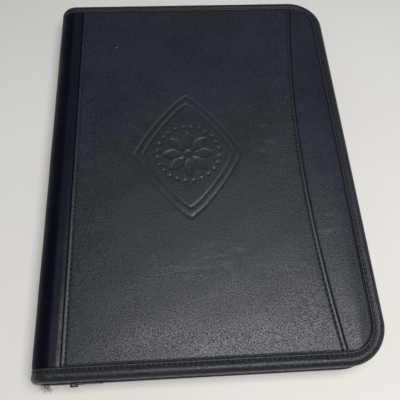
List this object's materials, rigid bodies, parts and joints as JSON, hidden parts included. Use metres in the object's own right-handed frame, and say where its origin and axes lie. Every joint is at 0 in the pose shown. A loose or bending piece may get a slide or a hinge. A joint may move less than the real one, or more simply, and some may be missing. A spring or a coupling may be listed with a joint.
{
  "type": "zippered padfolio",
  "caption": "Zip-round leather document folder: two stiff covers on a rounded spine, a letter pad and pockets inside, closed by a slider on three edges.",
  "frame": {"origin": "middle of the back cover's flat outer face, which the closed folder rests on", "axes": "+X from the spine to the fore edge, +Y to the head of the page, +Z out of the front cover"},
  "size_m": [0.2497, 0.3426, 0.03],
  "materials": {
    "leather": "fine-grained black leatherette with a soft sheen and pale scuffs",
    "binding": "folded black leatherette strip, stitched",
    "foam": "thin padding",
    "board": "grey-brown millboard",
    "lining": "matt black woven lining",
    "zip_tape": "black herringbone tape",
    "zip_coil": "black nylon coil",
    "zip_metal": "black enamel on die-cast metal",
    "elastic": "black ribbed elastic",
    "paper": "white writing paper with pale ruled lines",
    "card": "grey-brown pad backing card"
  },
  "bodies": {
    "back_cover": {"back_outer_skin": "leather", "spine_panel_back_edge": "leather", "back_foam": "foam", "back_board": "board", "back_lining": "lining", "back_binding": "binding", "back_zip_tape": "zip_tape", "back_zip_coil": "zip_coil", "back_zip_top_stop": "zip_metal", "zip_bottom_stop": "zip_metal", "pad_pocket": "lining", "notepad_card_back": "card", "notepad_sheets": "paper", "notepad_head_tape": "binding"},
    "spine": {"spine_skin": "leather", "spine_stiffener": "board", "spine_lining": "lining", "spine_binding_head": "binding", "spine_binding_tail": "binding"},
    "front_cover": {"front_centre_panel": "leather", "front_side_panel": "leather", "spine_panel_front_edge": "leather", "front_foam": "foam", "front_board": "board", "front_lining": "lining", "front_binding": "binding", "front_zip_tape": "zip_tape", "front_zip_coil": "zip_coil", "front_zip_top_stop": "zip_metal", "document_pocket": "lining", "card_pocket_1": "lining", "card_pocket_2": "lining", "card_pocket_3": "lining", "pass_pocket": "lining", "pen_loop": "elastic"},
    "slider": {"zip_slider": "zip_metal"},
    "pull": {"zip_pull": "zip_metal"}
  },
  "joints": [
    {"name": "spine_hinge", "type": "hinge", "parent": "back_cover", "child": "spine", "pos_m": [-0.12061, 0, 0.00439], "axis": [0, -1, 0], "range_deg": [0, 90]},
    {"name": "cover_hinge", "type": "hinge", "parent": "spine", "child": "front_cover", "pos_m": [-0.12061, 0, 0.02561], "axis": [0, -1, 0], "range_deg": [0, 90]},
    {"name": "slider_slide", "type": "slide", "parent": "back_cover", "child": "slider", "axis": [1, 0, 0], "range_m": [0, 0.18]},
    {"name": "pull_swing", "type": "hinge", "parent": "slider", "child": "pull", "pos_m": [-0.095, -0.1704, 0.015], "axis": [0, 0, -1], "range_deg": [0, 160]}
  ]
}
